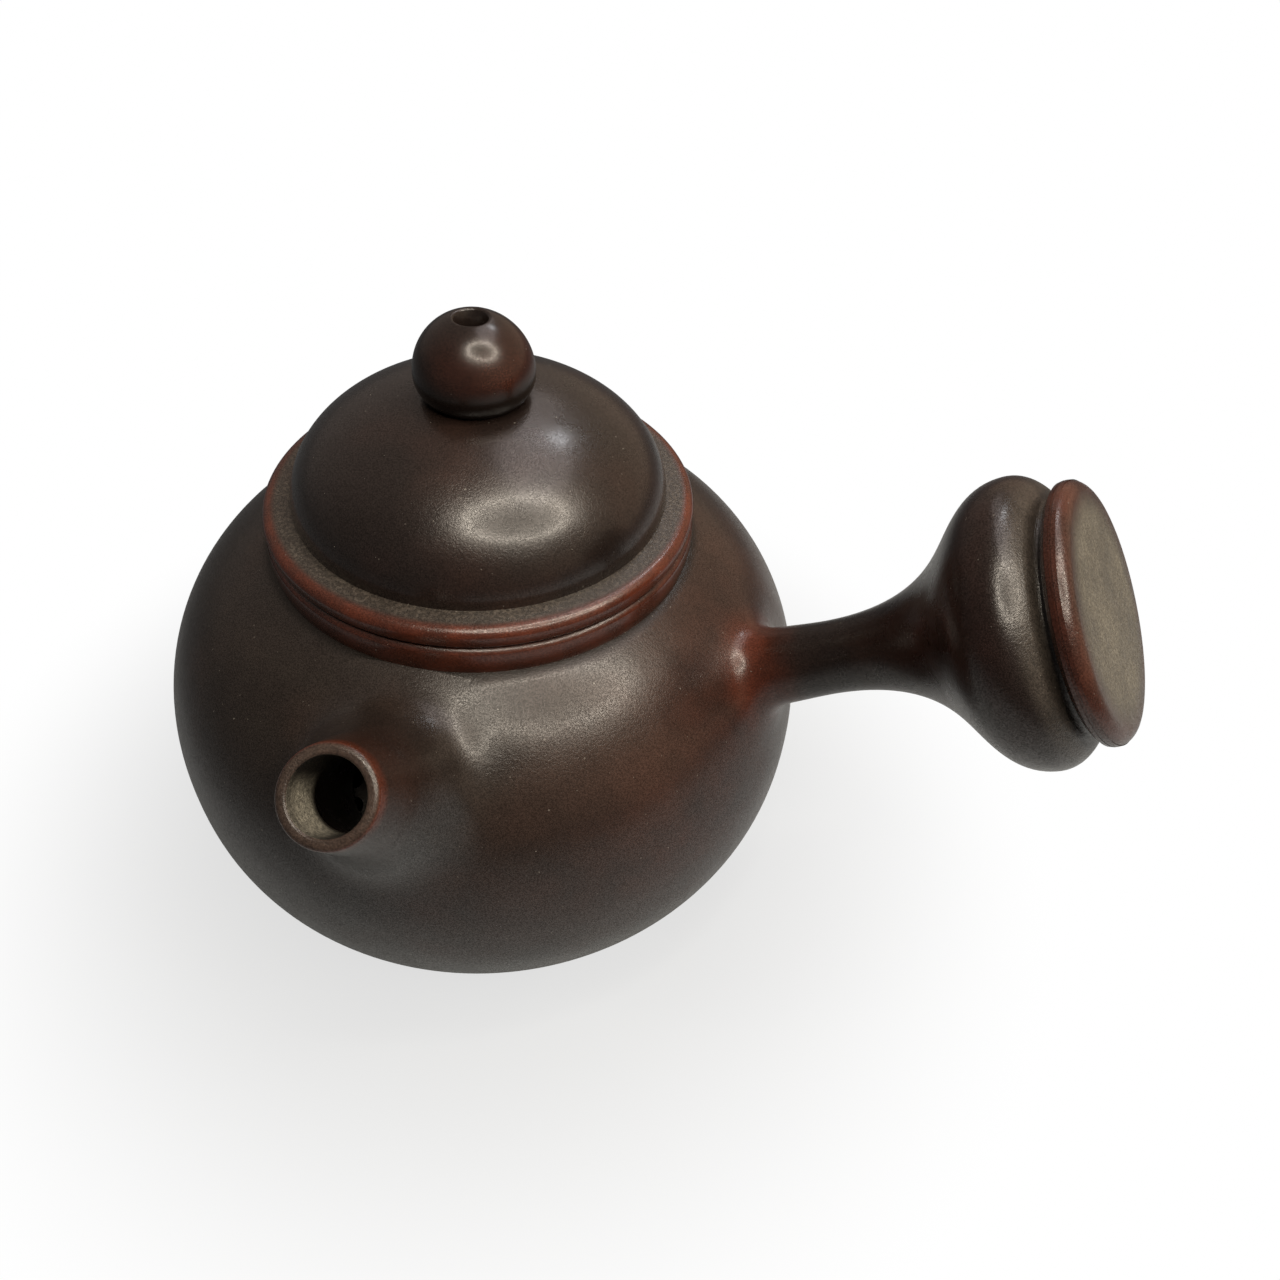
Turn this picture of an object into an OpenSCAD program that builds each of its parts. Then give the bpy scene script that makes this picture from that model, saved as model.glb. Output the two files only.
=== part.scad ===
// Side-handle teapot: a thrown round pot with a short spout, a hollow side handle and a lift-off lid.
// The origin is the centre of the flat underside, Z is the turning axis and the handle leans out along X.

/* [Pot] */
// Diameter at the belly line, where the pot is widest
belly_d = 80; // [74:1:90]
// Height of the belly line above the table
belly_z = 26.5; // [24:0.5:32]
// Diameter of the flat underside
base_d = 40.6; // [32:0.2:48]
// Rise from the belly line to the foot of the mouth ring
shoulder_h = 25.9; // [24:0.1:29]
// Thickness of the thrown wall
wall = 2.8; // [2.2:0.1:3.4]
// Thickness of the floor
floor_t = 3.6; // [2.6:0.1:5]
// Fullness of the bowl below the belly line, where 2 gives an ellipse
bowl_power = 2.4; // [2:0.1:3]
// Fullness of the shoulder along its height
shoulder_power = 2.1; // [1.9:0.1:2.4]
// Fullness of the shoulder across its width
shoulder_spread = 3; // [2.6:0.1:3.4]

/* [Mouth ring] */
// Clear diameter of the mouth
mouth_bore_d = 42; // [38:0.2:45]
// Width of the lip, from the bore to the ring's foot on the shoulder
lip_w = 3.2; // [2.8:0.1:4]
// Height of the mouth ring
ring_h = 3; // [2:0.1:4]
// How far the ring's bead stands out from its foot
ring_proud = 0.3; // [0:0.1:1]

/* [Lid] */
// Thickness of the lid's flat plate
plate_t = 2.5; // [1.8:0.1:3.5]
// How far the plate's bead stands out from the foot of the mouth ring
plate_proud = 0.1; // [-0.5:0.1:1]
// Width of the plate's edge that the dome leaves free
ledge_w = 3.25; // [2.5:0.05:4]
// Height that the dome's curve would reach at the axis
dome_h = 12.3; // [10:0.1:16]
// Thickness of the dome's wall
dome_wall = 2.4; // [1.8:0.1:3]
// Gap all round between the sleeve and the mouth
sleeve_gap = 0.4; // [0.3:0.1:0.8]
// Thickness of the sleeve
sleeve_t = 2.2; // [1.6:0.1:3]
// Depth that the sleeve reaches below the plate
sleeve_h = 7; // [5:0.5:8]

/* [Knob] */
// Diameter of the knob's ball
knob_d = 12.8; // [11:0.1:16]
// Height of the knob's top above its seat on the dome
knob_rise = 9; // [7:0.1:10]
// Diameter of the steam vent
vent_d = 2.2; // [1.5:0.1:3]
// Diameter of the vent's flared mouth on top of the knob
vent_mouth_d = 3.7; // [3.2:0.1:5]
// Depth of the vent's flared mouth
vent_mouth_h = 1.6; // [1:0.1:2.5]

/* [Spout] */
// Angle from the handle to the spout, seen from above
spout_turn = 79; // [70:1:90]
// Height at which the spout's centre line leaves the pot
spout_z = 44.6; // [42:0.1:46]
// Slope of the spout's centre line above level
spout_rise = 51; // [42:1:56]
// Length of the spout from the pot to its mouth, along the centre line
spout_len = 13.9; // [11:0.1:18]
// Outer diameter at the mouth of the spout
spout_d = 9.4; // [8.6:0.1:11]
// Bore at the mouth of the spout
spout_bore_d = 7.2; // [6:0.1:7.6]
// Bore where the spout meets the pot
outlet_d = 8.4; // [7.6:0.1:9.5]
// Diameter to which the spout's root flares out inside the pot's wall
spout_root_d = 26; // [22:0.5:28]

/* [Strainer] */
// Diameter of the strainer's cup
strainer_d = 17; // [15:0.5:18]
// Depth that the cup stands into the pot, along the spout's centre line
strainer_depth = 5; // [4:0.5:6]
// Thickness of the cup
strainer_t = 1.8; // [1.4:0.1:2]
// Diameter of each strainer hole
strainer_hole_d = 1.8; // [1.4:0.1:2]
// Number of rings of strainer holes round the one in the middle
strainer_rings = 2; // [1:1:2]
// Clear band between the outer ring of holes and the cup's wall
strainer_edge = 0.6; // [0.4:0.1:1.2]

/* [Handle] */
// Height at which the handle's centre line leaves the pot
handle_z = 43.3; // [40:0.1:45]
// Slope of the handle's centre line above level
handle_rise = 36; // [28:1:42]
// Distance from the pot to the narrowest place of the stem, along the centre line
waist_at = 10.2; // [8:0.1:13]
// Diameter of the stem at its narrowest place
waist_d = 8.1; // [7:0.1:10]
// Distance from the pot to the widest place of the bulb, along the centre line
bulb_at = 31.8; // [29:0.1:36]
// Diameter of the bulb at its widest place
bulb_d = 28.8; // [25:0.1:32]
// Distance from the widest place of the bulb to the groove before the end disc
bulb_back = 3.7; // [3:0.1:5]
// Diameter at the bottom of the groove
groove_d = 22.2; // [19:0.1:22.4]
// Thickness of the handle's wall
handle_wall = 2.4; // [1.8:0.1:3]
// Diameter to which the handle's root flares out inside the pot's wall
handle_root_d = 24; // [18:0.5:27]
// Diameter of the end disc
disc_d = 25.3; // [25:0.1:28]
// Thickness of the end disc, whose rim is fully rounded
disc_t = 3.1; // [2.4:0.1:3.4]

/* [Hidden] */
$fn = 128;

clay = "#3a2b26";
worn_clay = "#6b3f2c";
raw_clay = "#8d7d68";

// Steps along each curved stretch of an outline
steps = 20;
// Distance that a cutter runs past the faces it cuts
over = 1;

// Shapes of the two flared roots: how deep they start below the pot's surface, as a share of their radius,
// how far the curve's two middle points stand off the tube, as shares of the flare's spread,
// and how far along the tube the second one lies, as a share of its length
spout_root_shape = [0.56, 0.36, 0.1, 0.43];
handle_root_shape = [0.27, 0.08, 0.01, 0.12];
// Shares of the way that the stem, the bulb's front and the bulb's back run straight before they bend
stem_run = 0.76;
bulb_run = 0.31;
back_run = 0.54;
// Width of the rounded shoulder behind the bulb, above the groove
back_edge = 1;

belly_r = belly_d / 2;
base_r = base_d / 2;
mouth_bore_r = mouth_bore_d / 2;
mouth_r = mouth_bore_r + lip_w;
// Depth and height at which the two halves of the pot's outline would close at the axis
bowl_depth = belly_z / pow(1 - pow(base_r / belly_r, 2), 1 / bowl_power);
crown_h = shoulder_h / pow(1 - pow(mouth_r / belly_r, shoulder_spread), 1 / shoulder_power);
// Height inside the pot at which its shoulder has closed in to the mouth's bore
bore_share = pow(mouth_bore_r / (belly_r - wall), shoulder_spread);
bore_z = belly_z + (crown_h - wall) * pow(1 - bore_share, 1 / shoulder_power);

// Sizes of the lid, from the mouth and the knob that it carries
plate_r = mouth_r + plate_proud;
sleeve_r = mouth_bore_r - sleeve_gap;
lid_bore_r = sleeve_r - sleeve_t;
dome_r = plate_r - ledge_w;
knob_r = knob_d / 2;
knob_seat_r = sqrt(pow(knob_r, 2) - pow(knob_rise - knob_r, 2));

// Levels up the axis: top of the thrown pot, seat of the lid, top of its plate, seat of the knob
mouth_z = belly_z + shoulder_h;
seat_z = mouth_z + ring_h;
plate_z = seat_z + plate_t;
knob_z = plate_z + dome_h * sqrt(1 - pow(knob_seat_r / dome_r, 2));

// Distance from one ring of strainer holes to the next
strainer_pitch = (strainer_d / 2 - strainer_t - strainer_hole_d / 2 - strainer_edge) / strainer_rings;
// Where the groove before the end disc lies along the handle
groove_at = bulb_at + bulb_back;

// Radius of a bowl or a shoulder at a distance below or above its widest line
function bowl_r(r, depth, h) = r * pow(1 - pow(h / depth, bowl_power), 1 / 2);
function shoulder_r(r, height, h) = r * pow(1 - pow(h / height, shoulder_power), 1 / shoulder_spread);

// Radius of the pot's surface at a height, or of a surface drawn in from it
function pot_r(z, inset = 0) = z < belly_z
    ? bowl_r(belly_r - inset, bowl_depth - inset, belly_z - z)
    : shoulder_r(belly_r - inset, crown_h - inset, z - belly_z);

// Points up the pot's surface between two heights
function pot_points(low, high, inset = 0) =
    [for (i = [0 : steps]) let (z = low + (high - low) * i / steps) [pot_r(z, inset), z]];

// A cubic curve from its first point to its last, drawn by the two between
function curve_point(p, t) = pow(1 - t, 3) * p[0] + 3 * pow(1 - t, 2) * t * p[1]
    + 3 * (1 - t) * t * t * p[2] + pow(t, 3) * p[3];
function curve(p) = [for (i = [0 : steps]) curve_point(p, i / steps)];

// A flared root that starts below the pot's surface and narrows to a tube
function flared_root(root_r, tube_r, length, shape) = let (spread = root_r - tube_r)
    curve([[root_r, -shape[0] * root_r], [tube_r + shape[1] * spread, 0],
        [tube_r + shape[2] * spread, shape[3] * length], [tube_r, length]]);

// A quarter of an ellipse, from its foot up to a given radius
function dome_points(r, h, top_r) = let (end = acos(top_r / r))
    [for (i = [0 : steps]) [r * cos(end * i / steps), h * sin(end * i / steps)]];

module pot_outline() {
    polygon(concat([[0, 0]], pot_points(0, belly_z), pot_points(belly_z, mouth_z), [[0, mouth_z]]));
}

module cavity_outline() {
    top = mouth_z + over;
    polygon(concat([[0, floor_t]], pot_points(floor_t, belly_z, wall), pot_points(belly_z, bore_z, wall),
        [[mouth_bore_r, top], [0, top]]));
}

module pot_form() {
    rotate_extrude() pot_outline();
}

// Places its children at the root of the spout or of the handle, with Z along the centre line
module at_spout() {
    rotate([0, 0, -spout_turn]) translate([pot_r(spout_z), 0, spout_z])
        rotate([0, 90 - spout_rise, 0]) children();
}

module at_handle() {
    translate([pot_r(handle_z), 0, handle_z]) rotate([0, 90 - handle_rise, 0]) children();
}

// A ring, or a disc without a bore, with a fully rounded outer edge
module rounded_ring(r, bore_r, h) {
    rotate_extrude() {
        translate([bore_r, 0]) square([r - h / 2 - bore_r, h]);
        translate([r - h / 2, h / 2]) circle(d = h);
    }
}

module pot_body() {
    outlet_reach = 3 * wall;
    color(clay) difference() {
        rotate_extrude() difference() {
            pot_outline();
            cavity_outline();
        }
        at_spout() translate([0, 0, -outlet_reach]) cylinder(d = outlet_d, h = 2 * outlet_reach);
    }
}

module mouth_ring() {
    color(worn_clay) translate([0, 0, mouth_z]) rounded_ring(mouth_r + ring_proud, mouth_bore_r, ring_h);
}

module spout() {
    root_r = spout_root_d / 2;
    side = flared_root(root_r, spout_d / 2, spout_len, spout_root_shape);
    color(clay) difference() {
        at_spout() difference() {
            rotate_extrude() polygon(concat([[0, side[0][1]]], side, [[0, spout_len]]));
            translate([0, 0, -root_r]) cylinder(d = outlet_d, h = root_r);
            cylinder(d1 = outlet_d, d2 = spout_bore_d, h = spout_len);
        }
        pot_form();
    }
}

module strainer() {
    end_at = -wall - strainer_depth;
    color(raw_clay) difference() {
        intersection() {
            at_spout() translate([0, 0, end_at]) difference() {
                cylinder(d = strainer_d, h = strainer_d);
                translate([0, 0, strainer_t]) cylinder(d = strainer_d - 2 * strainer_t, h = strainer_d);
            }
            rotate_extrude() cavity_outline();
        }
        at_spout() for (ring = [0 : strainer_rings], i = [1 : max(1, 6 * ring)])
            rotate([0, 0, 60 * i / max(1, ring)]) translate([ring * strainer_pitch, 0, end_at - over])
                cylinder(d = strainer_hole_d, h = strainer_t + 2 * over);
    }
}

module handle_grip() {
    waist_r = waist_d / 2;
    bulb_r = bulb_d / 2;
    swell_len = bulb_at - waist_at;
    root = flared_root(handle_root_d / 2, waist_r, waist_at, handle_root_shape);
    swell = curve([[waist_r, waist_at], [waist_r, waist_at + stem_run * swell_len],
        [bulb_r, bulb_at - bulb_run * swell_len], [bulb_r, bulb_at]]);
    back = curve([[bulb_r, bulb_at], [bulb_r, bulb_at + back_run * bulb_back],
        [bulb_r - back_edge, groove_at], [groove_d / 2, groove_at]]);
    hollow = [for (p = concat(swell, back)) if (p[0] > 2 * handle_wall) [p[0] - handle_wall, p[1]]];
    color(clay) difference() {
        at_handle() rotate_extrude() difference() {
            polygon(concat([[0, root[0][1]]], root, swell, back, [[0, groove_at]]));
            polygon(concat([[0, hollow[0][1]]], hollow, [[0, groove_at]]));
        }
        pot_form();
    }
}

module handle_end_disc() {
    color(worn_clay) at_handle() translate([0, 0, groove_at]) rounded_ring(disc_d / 2, 0, disc_t);
}

module lid_plate() {
    color(worn_clay) translate([0, 0, seat_z]) rounded_ring(plate_r, lid_bore_r, plate_t);
}

module lid_dome() {
    top = knob_z - plate_z;
    inner_r = dome_r - dome_wall;
    color(clay) translate([0, 0, plate_z]) difference() {
        rotate_extrude() polygon(concat([[0, 0]], dome_points(dome_r, dome_h, knob_seat_r), [[0, top]]));
        rotate_extrude() polygon(concat([[0, -over], [inner_r, -over]],
            dome_points(inner_r, dome_h - dome_wall, 0)));
        cylinder(d = vent_d, h = top + over);
    }
}

module lid_sleeve() {
    color(raw_clay) translate([0, 0, seat_z - sleeve_h]) difference() {
        cylinder(r = sleeve_r, h = sleeve_h);
        translate([0, 0, -over]) cylinder(r = lid_bore_r, h = sleeve_h + 2 * over);
    }
}

module knob() {
    color(clay) translate([0, 0, knob_z]) difference() {
        translate([0, 0, knob_rise - knob_r]) sphere(r = knob_r);
        translate([0, 0, -knob_d]) cylinder(r = knob_d, h = knob_d);
        translate([0, 0, -over]) cylinder(d = vent_d, h = knob_rise + 2 * over);
        translate([0, 0, knob_rise - vent_mouth_h]) cylinder(d1 = vent_d, d2 = vent_mouth_d, h = vent_mouth_h);
    }
}

pot_body();
mouth_ring();
spout();
strainer();
handle_grip();
handle_end_disc();
lid_plate();
lid_dome();
lid_sleeve();
knob();
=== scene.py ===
"""Side-handle teapot in dark burnished clay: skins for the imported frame, light, floor and camera."""
import math

import bmesh
import bpy
from mathutils import Matrix, Vector


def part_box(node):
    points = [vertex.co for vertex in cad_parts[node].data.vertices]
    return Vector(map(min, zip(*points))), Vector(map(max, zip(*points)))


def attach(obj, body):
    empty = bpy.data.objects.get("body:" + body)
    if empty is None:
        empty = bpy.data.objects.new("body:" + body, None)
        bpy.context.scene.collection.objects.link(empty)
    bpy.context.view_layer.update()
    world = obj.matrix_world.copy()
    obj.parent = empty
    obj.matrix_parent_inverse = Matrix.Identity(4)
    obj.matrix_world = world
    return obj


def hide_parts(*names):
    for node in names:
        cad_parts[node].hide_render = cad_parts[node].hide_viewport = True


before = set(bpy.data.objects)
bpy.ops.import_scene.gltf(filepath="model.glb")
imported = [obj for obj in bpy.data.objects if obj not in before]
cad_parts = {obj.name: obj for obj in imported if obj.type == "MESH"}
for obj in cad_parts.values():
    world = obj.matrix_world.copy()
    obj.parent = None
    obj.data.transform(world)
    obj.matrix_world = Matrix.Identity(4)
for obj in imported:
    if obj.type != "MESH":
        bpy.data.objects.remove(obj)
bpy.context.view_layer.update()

MM = 0.001


def corners(node):
    """Lowest and highest corner of a node of the frame, in millimetres."""
    return [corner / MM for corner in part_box(node)]


# Sizes in millimetres that the frame's boxes give
BELLY_R, _, MOUTH_Z = corners("pot_body")[1]
RING_R, _, SEAT_Z = corners("mouth_ring")[1]
PLATE_R, _, PLATE_Z = corners("lid_plate")[1]
DOME_R, _, KNOB_Z = corners("lid_dome")[1]
SLEEVE_Z = corners("lid_sleeve")[0].z
SLEEVE_R = corners("lid_sleeve")[1].x

# Sizes of the pot that its box doesn't give
BELLY_Z = 26.5
BASE_R = 20.3
MOUTH_R = 24.2
BORE_R = 21.0
WALL = 2.8
FLOOR_T = 3.6
BOWL_POWER = 2.4
BOWL_SPREAD = 2
SHOULDER_POWER = 2.1
SHOULDER_SPREAD = 3
FOOT_EDGE = 1.2
FOOT_RISE = 3.0

# Sizes of the bead round the mouth
RING_SUNK = 0.2
RING_FOOT_IN = 0.25
RING_FOOT_EDGE = 0.1
RING_SIDE_EDGE = 1.0
RING_TOP_IN = 0.3
RING_TOP_EDGE = 0.75

# Sizes of the lid's plate and sleeve, and the room under the plate
LID_ROOM = 0.05
LID_BORE_R = 18.4
PLATE_FOOT_IN = 0.25
PLATE_FOOT_EDGE = 0.6
PLATE_SIDE_H = 1.2
PLATE_SIDE_EDGE = 0.5
PLATE_TOP_IN = 0.15
PLATE_TOP_EDGE = 1.0
SLEEVE_EDGE = 0.5

# Sizes of the lid's dome and knob
DOME_H = 12.3
DOME_WALL = 2.4
KNOB_R = 6.4
KNOB_MIDDLE = 2.6
KNOB_FOOT_R = 5.15
VENT_R = 1.1
VENT_MOUTH_R = 1.85
VENT_MOUTH_H = 1.6
VENT_EDGE = 0.25
VENT_LIP = 0.05

# Depth to which the flares of the spout and the handle sink into the pot
SUNK = 0.015

# Sizes along and across the spout's centre line
SPOUT_TURN = math.radians(-79)
SPOUT_RISE = math.radians(51)
SPOUT_Z = 44.6
SPOUT_LEN = 13.9
SPOUT_R = 4.7
SPOUT_BORE_R = 3.6
SPOUT_EDGE = 0.5
SPOUT_BORE_EDGE = 0.3
SPOUT_BORE_TAPER = 0.1
THROAT_LEN = 6.0
THROAT_STEP = 0.5
THROAT_EDGE = 0.1
OUTLET_R = 4.2
OUTLET_EDGE = 0.2
OUTLET_ROOM = 0.35
OUTLET_DEPTH = 3 * WALL
# Radius at the pot, radius at the stem, height, and power of the rise
SPOUT_FLARE = (15.0, 5.86, 7.3, 4.5)
# Height to which the root bends with the pot
SPOUT_BEND = 9.0
# Room round the outlet within which faces are the bore's, and depth at which they end under the lip
BORE_ROOM = 0.02
LIP_DEPTH = 0.12

# Sizes along and across the handle's centre line
HANDLE_RISE = math.radians(36)
HANDLE_Z = 43.3
HANDLE_DEPTH = 1.5
HANDLE_FLARE = (12.6, 6.3, 0.75, 3.0)
HANDLE_BEND = 7.0
WAIST_AT = 10.2
WAIST_R = 4.05
BULB_AT = 31.8
BULB_R = 14.4
SWELL = BULB_AT - WAIST_AT
GROOVE_AT = 35.5
GROOVE_R = 11.1
GROOVE_EDGE = 0.5
DISC_R = 12.65
DISC_AT = 36.1
DISC_LAP = 0.2
DISC_FACE = 38.6
DISC_FACE_HOLLOW = 0.1
DISC_FACE_IN = 0.25
DISC_FACE_EDGE = 1.3
DISC_SIDE_H = 1.1
DISC_SIDE_EDGE = 0.5
DISC_FOOT_IN = 0.2
DISC_FOOT_EDGE = 1.0

# Steps of the turning and of each kind of curve
TURN_STEPS = 192
CURVE_STEPS = 24
CORNER_STEPS = 8
FLARE_STEPS = 40
SIDE_STEPS = 36
SWELL_STEPS = 40
DOME_STEPS = 40
BALL_STEPS = 48

# Curves up the handle from its flare: two bends, the end and the steps, as radius and place along it
HANDLE_CURVES = (
    ((4.89, 1.25), (4.46, 2.4), (4.35, 4.2), CURVE_STEPS),
    ((4.25, 5.8), (WAIST_R, 8.2), (WAIST_R, WAIST_AT), CURVE_STEPS),
    ((WAIST_R, WAIST_AT + 0.76 * SWELL), (BULB_R, BULB_AT - 0.31 * SWELL), (BULB_R, BULB_AT), SWELL_STEPS),
    ((BULB_R, BULB_AT + 1.3), (BULB_R - 0.7, BULB_AT + 2.3), (12.4, 35.0), CURVE_STEPS),
)

# Share of a corner's cut at which a cubic curve follows a circle
ROUND_SHARE = 0.55
# Bend of the surface above which an edge stays crisp
CRISP_ANGLE = math.radians(42)
# Distance under which two points are one
MERGE = 1e-4
# Heights between which a root's line leaves the pot, and how often that span is halved to find it
LEAVES_LOW = -20.0
LEAVES_HIGH = 12.0
HALVINGS = 40


# Outlines and turned forms

def curve(first, bend, lean, last, steps=CURVE_STEPS):
    """Points of a cubic curve in an outline, with both of its ends."""
    first, bend, lean, last = (Vector(point) for point in (first, bend, lean, last))
    points = []
    for i in range(steps + 1):
        t = i / steps
        u = 1 - t
        points.append(u**3 * first + 3 * u * u * t * bend + 3 * u * t * t * lean + t**3 * last)
    return points


def outline(*stations):
    """Points of an outline through (radius, height, rounding), with its inner corners rounded off."""
    points = [Vector(stations[0][:2])]
    for before, here, after in zip(stations, stations[1:], stations[2:]):
        corner = Vector(here[:2])
        start = corner + here[2] * (Vector(before[:2]) - corner).normalized()
        end = corner + here[2] * (Vector(after[:2]) - corner).normalized()
        bend = start.lerp(corner, ROUND_SHARE)
        lean = end.lerp(corner, ROUND_SHARE)
        points += curve(start, bend, lean, end, CORNER_STEPS)
    points.append(Vector(stations[-1][:2]))
    return points


def flare(start_r, end_r, height, power):
    """Points of a flare that leaves the pot without an edge and steepens toward its stem."""
    points = []
    for i in range(FLARE_STEPS + 1):
        share = i / FLARE_STEPS
        radius = start_r + (end_r - start_r) * share
        points.append(Vector((radius, height * share**power - SUNK * (1 - share))))
    return points


def turned(points, closed=False):
    """A form turned on the wheel from its outline, with Z as the turning axis."""
    bm = bmesh.new()
    side = [bm.verts.new((point.x, 0, point.y)) for point in points]
    following = side[1:] + side[:1] if closed else side[1:]
    edges = [bm.edges.new(pair) for pair in zip(side, following)]
    bmesh.ops.spin(bm, geom=side + edges, cent=(0, 0, 0), axis=(0, 0, 1), angle=math.tau,
                   steps=TURN_STEPS, use_merge=True)
    bmesh.ops.remove_doubles(bm, verts=bm.verts[:], dist=MERGE)
    bmesh.ops.recalc_face_normals(bm, faces=bm.faces[:])
    return bm


# The pot's surface

bowl_depth = BELLY_Z / (1 - (BASE_R / BELLY_R)**BOWL_SPREAD)**(1 / BOWL_POWER)
crown_h = (MOUTH_Z - BELLY_Z) / (1 - (MOUTH_R / BELLY_R)**SHOULDER_SPREAD)**(1 / SHOULDER_POWER)


def pot_radius(z, inset=0.0):
    """Radius of the pot's surface at a height, or of a surface drawn in from it."""
    if z < BELLY_Z:
        share = (BELLY_Z - z) / (bowl_depth - inset)
        return (BELLY_R - inset) * max(0, 1 - share**BOWL_POWER)**(1 / BOWL_SPREAD)
    share = (z - BELLY_Z) / (crown_h - inset)
    return (BELLY_R - inset) * max(0, 1 - share**SHOULDER_POWER)**(1 / SHOULDER_SPREAD)


def pot_side(low, high, inset=0.0):
    """Points up the pot's surface between two heights."""
    heights = [low + (high - low) * i / SIDE_STEPS for i in range(SIDE_STEPS + 1)]
    return [Vector((pot_radius(z, inset), z)) for z in heights]


def root_place(turn, rise, z):
    """Place of a spout's or a handle's root, with Z along its centre line."""
    lean = Matrix.Rotation(math.pi / 2 - rise, 4, "Y")
    return Matrix.Rotation(turn, 4, "Z") @ Matrix.Translation((pot_radius(z), 0, z)) @ lean


spout_place = root_place(SPOUT_TURN, SPOUT_RISE, SPOUT_Z)
handle_place = root_place(0, HANDLE_RISE, HANDLE_Z)


def leaves_pot(place, x, y):
    """Height over a root's place at which the line through x and y comes out of the pot."""
    low, high = LEAVES_LOW, LEAVES_HIGH
    for _ in range(HALVINGS):
        middle = (low + high) / 2
        point = place @ Vector((x, y, middle))
        if point.xy.length < pot_radius(point.z):
            low = middle
        else:
            high = middle
    return low


def seat_root(bm, place, reach):
    """Bends the foot of a root on to the pot, so that its flare runs out along the surface."""
    for vert in bm.verts:
        share = min(1, max(0, 1 - vert.co.z / reach))
        if share > 0:
            share = share * share * (3 - 2 * share)
            vert.co.z += share * leaves_pot(place, vert.co.x, vert.co.y)


def open_outlet(bm):
    """Cuts the outlet behind the spout through the pot's wall."""
    to_spout = spout_place.inverted()
    radius = OUTLET_R + OUTLET_ROOM
    cut = []
    for face in bm.faces:
        middle = to_spout @ face.calc_center_median()
        if middle.xy.length < radius and abs(middle.z) < OUTLET_DEPTH:
            cut.append(face)
    bmesh.ops.delete(bm, geom=cut, context="FACES")
    rims = [edge for edge in bm.edges if edge.is_boundary]
    for vert in {vert for edge in rims for vert in edge.verts}:
        local = to_spout @ vert.co
        local.xy = local.xy.normalized() * radius
        vert.co = spout_place @ local
    bmesh.ops.bridge_loops(bm, edges=rims)
    bmesh.ops.recalc_face_normals(bm, faces=bm.faces[:])


# Shader sums

class Wire:
    """A shader socket that takes part in sums."""

    def __init__(self, tree, socket=None):
        self.tree = tree
        self.socket = socket

    def add(self, kind, settings, sockets, output=0):
        """Adds a node: its settings first, then the values or links of its sockets."""
        node = self.tree.nodes.new(kind)
        for name, value in settings.items():
            setattr(node, name, value)
        for name, value in sockets.items():
            if isinstance(value, Wire):
                self.tree.links.new(value.socket, node.inputs[name])
            else:
                node.inputs[name].default_value = value
        return Wire(self.tree, node.outputs[output])

    def maths(self, operation, *values):
        """The result of one operation on values or other sockets."""
        return self.add("ShaderNodeMath", {"operation": operation}, dict(enumerate(values)))

    def __add__(self, other):
        return self.maths("ADD", self, other)

    __radd__ = __add__

    def __sub__(self, other):
        return self.maths("SUBTRACT", self, other)

    def __rsub__(self, other):
        return self.maths("SUBTRACT", other, self)

    def __mul__(self, other):
        return self.maths("MULTIPLY", self, other)

    __rmul__ = __mul__

    def rise(self, low, high):
        """0 below low, 1 above high and a smooth rise between."""
        return self.add("ShaderNodeMapRange", {"interpolation_type": "SMOOTHSTEP"},
                        {"Value": self, "From Min": low, "From Max": high})

    def fall(self, low, high):
        """1 below low, 0 above high and a smooth fall between."""
        return 1 - self.rise(low, high)

    def noise(self, size, detail):
        """Noise on this place, with marks of about that size in millimetres."""
        return self.add("ShaderNodeTexNoise", {}, {"Vector": self, "Scale": 1 / size, "Detail": detail})

    def mix(self, first, second):
        """The first colour where this is 0 and the second where it is 1."""
        return self.add("ShaderNodeMix", {"data_type": "RGBA"}, {0: self, 6: first, 7: second}, 2)

    def shaded(self, shade):
        """This colour times a shade."""
        return self.add("ShaderNodeMix", {"data_type": "RGBA", "blend_type": "MULTIPLY"},
                        {0: 1.0, 6: self, 7: shade}, 2)

    def seen_from(self, place):
        """This place as measured from a root, with Z along its centre line."""
        return self.add("ShaderNodeMapping", {"vector_type": "TEXTURE"},
                        {"Vector": self, "Location": place.to_translation(), "Rotation": place.to_euler()})

    def measure(self, operation, other):
        """A single measure of this place against another place or direction."""
        return self.add("ShaderNodeVectorMath", {"operation": operation}, {0: self, 1: other}, "Value")

    def part(self, axis):
        """This place's X, Y or Z."""
        return self.add("ShaderNodeSeparateXYZ", {}, {0: self}, axis)

    def across(self):
        """Distance off the Z axis."""
        x = self.part(0)
        y = self.part(1)
        return self.maths("SQRT", x * x + y * y)

    def along(self):
        """Height along the Z axis."""
        return self.part(2)


# Clay

DARK_SKIN = (0.0110, 0.0072, 0.0059, 1)
WARM_SKIN = (0.0290, 0.0135, 0.0092, 1)
RED_CLAY = (0.1020, 0.0222, 0.0090, 1)
ASH_CLAY = (0.0540, 0.0465, 0.0385, 1)
RAW_CLAY = (0.2250, 0.2100, 0.1680, 1)
# Near-black colour laid on as painted shade: in creases, at the knob's foot and deep in the spout
PAINTED_SHADE_CLAY = (0.0070, 0.0052, 0.0040, 1)
DUST = (0.30, 0.28, 0.25, 1)

# Marks of use and painted light and shade, in the order in which they cover each other: the clay that shows,
# and how patchy it is
MARKS = {
    "worn_and_lit": (RED_CLAY, 0.6),
    "matt_and_sheen": (ASH_CLAY, 0.4),
    "raw": (RAW_CLAY, 0.2),
    "painted_shade": (PAINTED_SHADE_CLAY, 0.1),
}

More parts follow.
